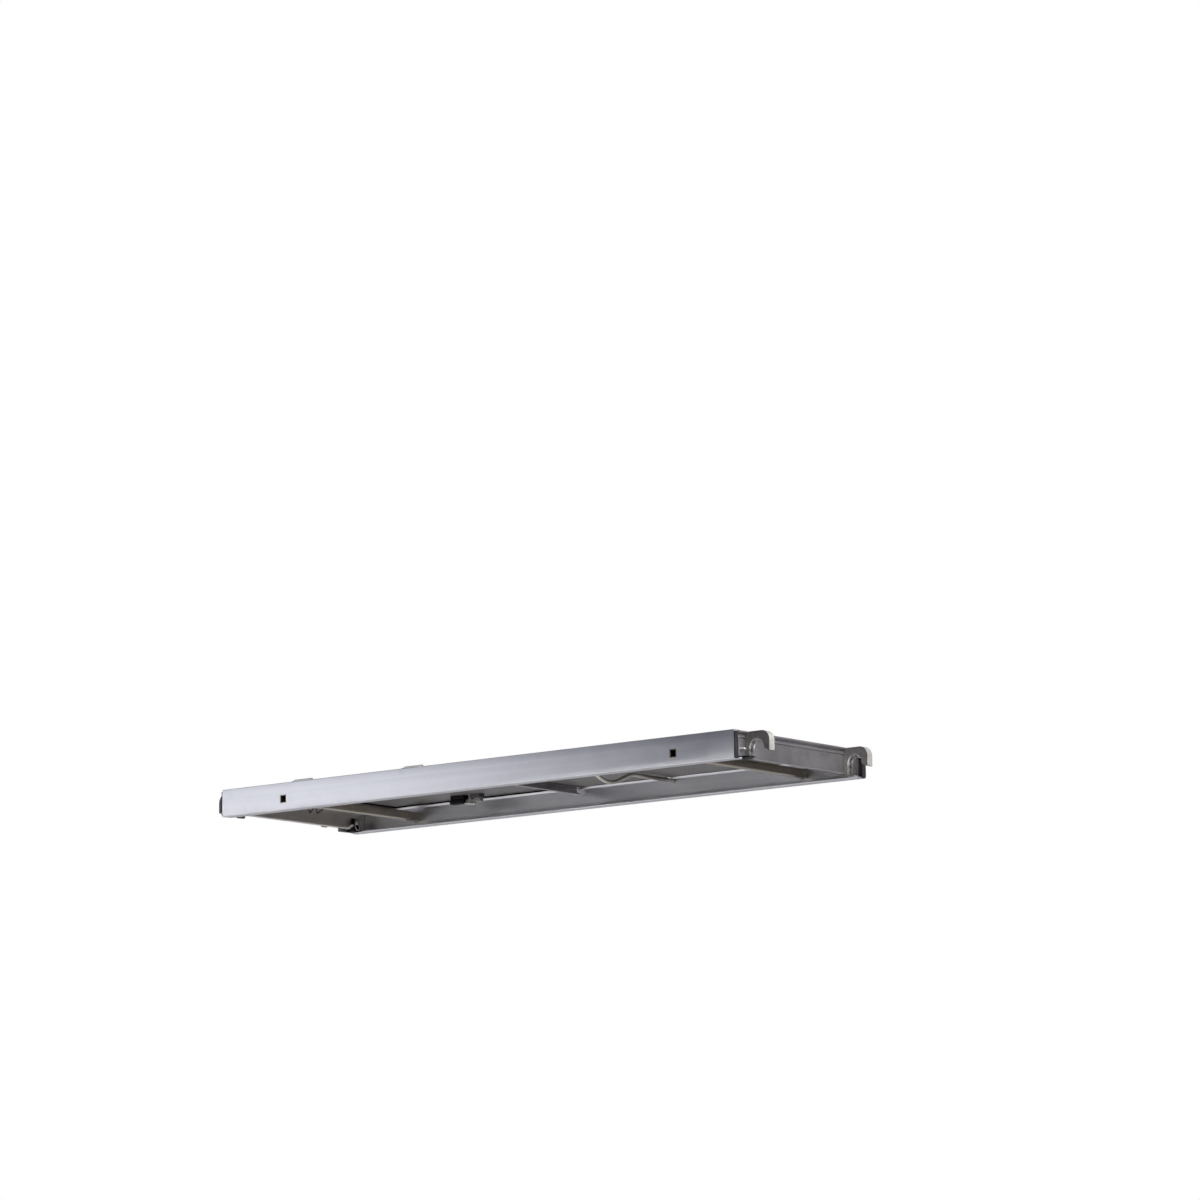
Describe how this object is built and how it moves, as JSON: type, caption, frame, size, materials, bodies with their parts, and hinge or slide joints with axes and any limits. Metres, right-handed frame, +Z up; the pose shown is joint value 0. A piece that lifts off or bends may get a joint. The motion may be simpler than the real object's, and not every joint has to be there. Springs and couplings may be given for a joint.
{
  "type": "scaffold plank with trapdoor",
  "caption": "Aluminium-framed scaffold deck that hangs by cast hooks on two tower rungs, with a hinged plywood trapdoor, a turn latch beneath it and sliding anti-lift catches.",
  "frame": {"origin": "seat of the right front hook, on the top of the right rung and in the middle of the hook's width", "axes": "+X along the plank towards the right rung's outer side, +Y across the plank from the hinge side to the latch side, +Z up"},
  "size_m": [2.121, 0.62, 0.0905],
  "materials": {
    "aluminium": "mill-finish extrusion",
    "cast_aluminium": "rough cast",
    "zinc_steel": "zinc plated",
    "latch_metal": "dull plated",
    "black_plastic": "moulded",
    "black_rubber": "matt",
    "plywood": "phenolic film face"
  },
  "bodies": {
    "frame": {"bent_rod": "aluminium", "cross_tube_left": "aluminium", "cross_tube_right": "aluminium", "deck_board_left": "plywood", "deck_board_right": "plywood", "end_beam_left": "aluminium", "end_beam_right": "aluminium", "hatch_seal": "black_rubber", "hatch_sill_left": "aluminium", "hatch_sill_right": "aluminium", "hinge_leaf_fixed_1": "zinc_steel", "hinge_leaf_fixed_2": "zinc_steel", "hinge_pin_1": "zinc_steel", "hinge_pin_2": "zinc_steel", "hook_bolt_left_front": "zinc_steel", "hook_bolt_left_rear": "zinc_steel", "hook_bolt_right_front": "zinc_steel", "hook_bolt_right_rear": "zinc_steel", "hook_left_front": "cast_aluminium", "hook_left_rear": "cast_aluminium", "hook_nut_left_front": "zinc_steel", "hook_nut_left_rear": "zinc_steel", "hook_nut_right_front": "zinc_steel", "hook_nut_right_rear": "zinc_steel", "hook_right_front": "cast_aluminium", "hook_right_rear": "cast_aluminium", "rail_cap_left_front": "black_plastic", "rail_cap_left_rear": "black_plastic", "rail_cap_right_front": "black_plastic", "rail_cap_right_rear": "black_plastic", "side_rail_front": "aluminium", "side_rail_rear": "aluminium"},
    "hatch": {"hatch_board": "plywood", "latch_base": "latch_metal", "latch_stop": "black_plastic", "hinge_leaf_moving_1": "zinc_steel", "hinge_leaf_moving_2": "zinc_steel"},
    "latch": {"latch_arm": "latch_metal", "latch_grip": "black_plastic", "latch_spindle": "latch_metal"},
    "catch_right": {"catch_jaw_right": "black_plastic", "catch_pin_right": "zinc_steel", "catch_ring_right": "zinc_steel"},
    "catch_left": {"catch_jaw_left": "black_plastic", "catch_pin_left": "zinc_steel", "catch_ring_left": "zinc_steel"}
  },
  "joints": [
    {"name": "hatch_hinge", "type": "hinge", "parent": "frame", "child": "hatch", "pos_m": [-1.4625, -0.0612, 0.0269], "axis": [1, 0, 0], "range_deg": [0, 105]},
    {"name": "latch_turn", "type": "hinge", "parent": "hatch", "child": "latch", "pos_m": [-1.462, 0.452, 0.0095], "axis": [0, 0, -1], "range_deg": [0, 90]},
    {"name": "catch_right_slide", "type": "slide", "parent": "frame", "child": "catch_right", "axis": [-1, 0, 0], "range_m": [0, 0.022]},
    {"name": "catch_left_slide", "type": "slide", "parent": "frame", "child": "catch_left", "axis": [1, 0, 0], "range_m": [0, 0.022]}
  ]
}
